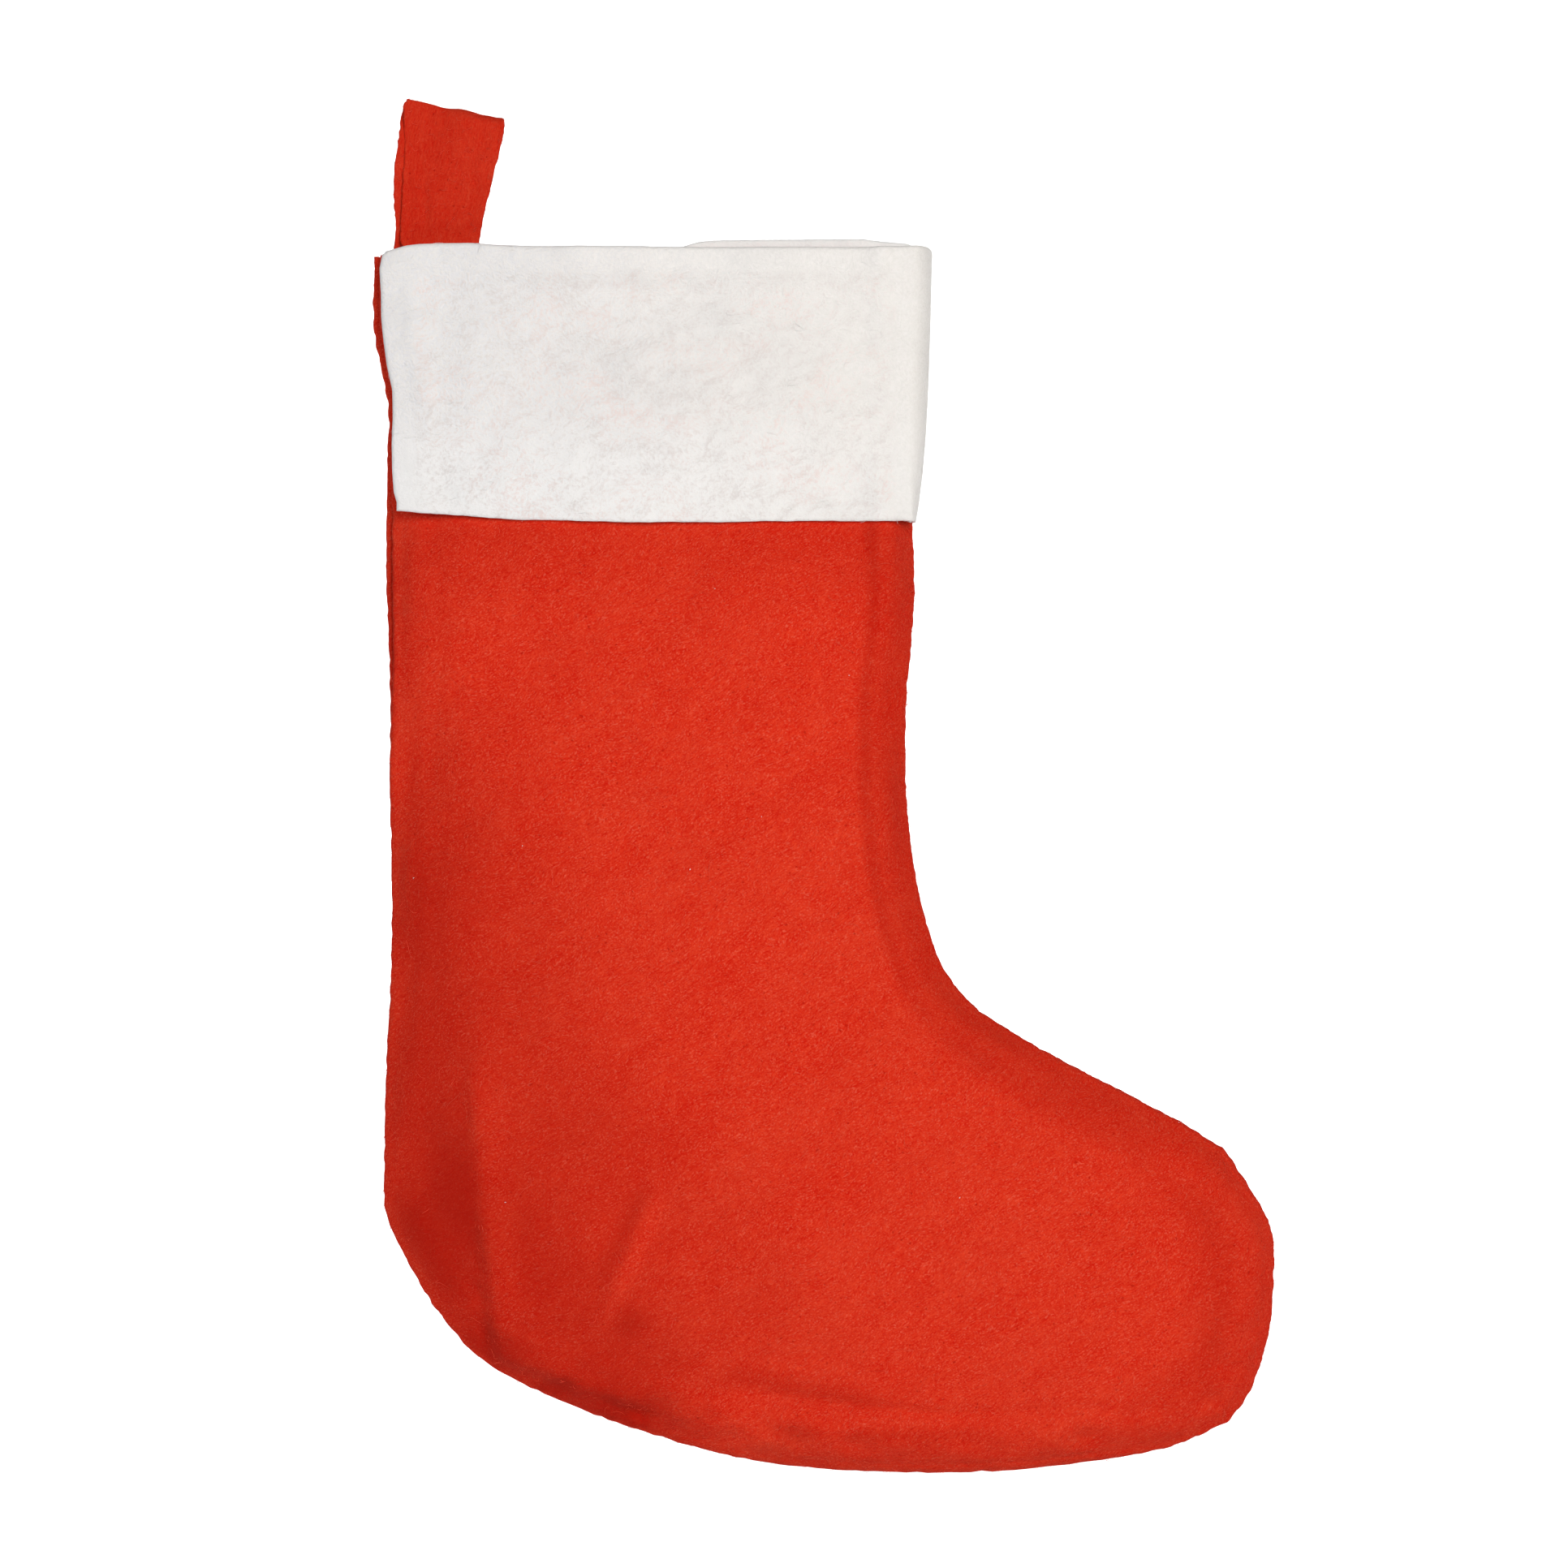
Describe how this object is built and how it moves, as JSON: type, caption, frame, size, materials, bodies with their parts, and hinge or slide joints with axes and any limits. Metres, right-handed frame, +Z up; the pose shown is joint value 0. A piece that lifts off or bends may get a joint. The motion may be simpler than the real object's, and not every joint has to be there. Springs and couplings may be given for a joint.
{
  "type": "hanging stocking",
  "caption": "Red felt holiday stocking with a white turned-down cuff, open at the top, hung by a folded felt loop at its heel-side corner.",
  "frame": {"origin": "where a hook carries the loop: the underside of the loop's top fold, in the middle of the strip", "axes": "+X towards the toe, -Y out of the front face, +Z up as it hangs"},
  "size_m": [0.2771, 0.033, 0.4228],
  "materials": {
    "red_felt": "matte needle-punched felt",
    "loop_felt": "matte needle-punched felt",
    "white_felt": "matte needle-punched felt, slightly see-through",
    "red_thread": "spun polyester sewing thread",
    "white_thread": "spun polyester sewing thread"
  },
  "bodies": {
    "loop": {"hanging_loop": "loop_felt"},
    "stocking": {"front_panel": "red_felt", "back_panel": "red_felt", "cuff_front": "white_felt", "cuff_back": "white_felt", "hanging_loop_ends": "loop_felt", "body_stitching": "red_thread", "loop_stitching": "red_thread", "cuff_front_stitching": "white_thread", "cuff_back_stitching": "white_thread", "cuff_side_stitching": "white_thread"}
  },
  "joints": [
    {"name": "loop_bend", "type": "hinge", "parent": "loop", "child": "stocking", "pos_m": [0, 0, -0.0385], "axis": [1, 0, 0], "range_deg": [-80, 80]}
  ]
}
